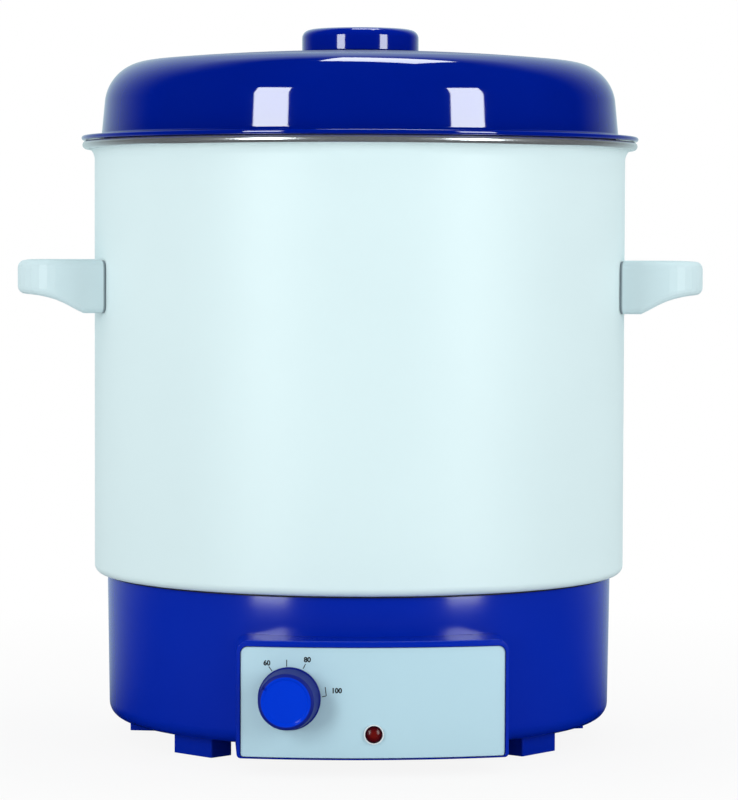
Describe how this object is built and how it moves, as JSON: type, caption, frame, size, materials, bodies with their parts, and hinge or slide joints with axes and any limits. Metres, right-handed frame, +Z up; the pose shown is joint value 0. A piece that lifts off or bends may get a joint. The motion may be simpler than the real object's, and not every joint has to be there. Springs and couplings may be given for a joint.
{
  "type": "hot pack heater",
  "caption": "Enamelled pot with a domed lid and two loop handles on a moulded base with a bowed control box, a thermostat knob and a pilot lamp, for warming packs in water.",
  "frame": {"origin": "on the floor, below the pot's vertical axis", "axes": "+Z up along the pot's axis, the control box faces -Y, the handles lie along X"},
  "size_m": [0.451, 0.3944, 0.4693],
  "materials": {
    "white_enamel": "glossy vitreous enamel, cool white",
    "blue_enamel": "glossy vitreous enamel, ultramarine",
    "polished_steel": "polished rolled stainless band",
    "stainless_sheet": "brushed stainless sheet",
    "bright_steel": "zinc-plated steel",
    "handle_plastic": "satin moulded phenolic, pale grey",
    "lid_knob_plastic": "glossy moulded plastic, ultramarine",
    "base_plastic": "semi-gloss moulded plastic, ultramarine",
    "seal_rubber": "black rubber",
    "bush_rubber": "black rubber",
    "fascia_print": "satin pale blue-grey plate with printed dial marks",
    "knob_plastic": "semi-gloss moulded plastic, bright blue",
    "phenolic": "dark moulded phenolic",
    "sensor_copper": "drawn copper",
    "red_lens": "translucent dark red lens",
    "bezel_plastic": "pale glossy ring",
    "cast_aluminium": "as-cast aluminium",
    "shield_aluminium": "bright rolled sheet",
    "element_sheath": "heat-darkened steel sheath",
    "terminal_ceramic": "white steatite",
    "terminal_brass": "plain brass",
    "lead_insulation": "silicone insulation"
  },
  "bodies": {
    "heater": {"pot": "white_enamel", "rim_band": "polished_steel", "handle_left": "handle_plastic", "handle_right": "handle_plastic", "handle_screws": "bright_steel", "handle_washers": "seal_rubber", "base_housing": "base_plastic", "base_gasket": "seal_rubber", "bottom_cover": "base_plastic", "tie_screws": "bright_steel", "pot_bosses": "bright_steel", "fascia_plate": "fascia_print", "thermostat": "phenolic", "thermostat_screws": "bright_steel", "thermostat_sensor": "sensor_copper", "sensor_clip": "bright_steel", "lamp_lens": "red_lens", "lamp_bezel": "bezel_plastic", "lamp_socket": "phenolic", "heater_plate": "cast_aluminium", "heating_element": "element_sheath", "element_clamp": "bright_steel", "heater_stud": "bright_steel", "stud_nuts": "bright_steel", "heat_shield": "shield_aluminium", "thermal_cutout": "phenolic", "terminal_block": "terminal_ceramic", "terminal_screws": "terminal_brass", "cord_bush": "bush_rubber", "leads": "lead_insulation"},
    "lid": {"lid": "blue_enamel", "lid_knob": "lid_knob_plastic", "lid_knob_screw": "bright_steel", "lid_knob_washer": "bright_steel"},
    "rack": {"rack": "stainless_sheet"},
    "knob": {"control_knob": "knob_plastic", "thermostat_shaft": "bright_steel"}
  },
  "joints": [
    {"name": "lid_lift", "type": "slide", "parent": "heater", "child": "lid", "axis": [0, 0, 1], "range_m": [0, 0.3]},
    {"name": "rack_lift", "type": "slide", "parent": "heater", "child": "rack", "axis": [0, 0, 1], "range_m": [0, 0.25]},
    {"name": "knob_turn", "type": "hinge", "parent": "heater", "child": "knob", "pos_m": [-0.052, -0.18894, 0.0474], "axis": [0.1552, 0.9879, 0], "range_deg": [-92, 148]}
  ]
}
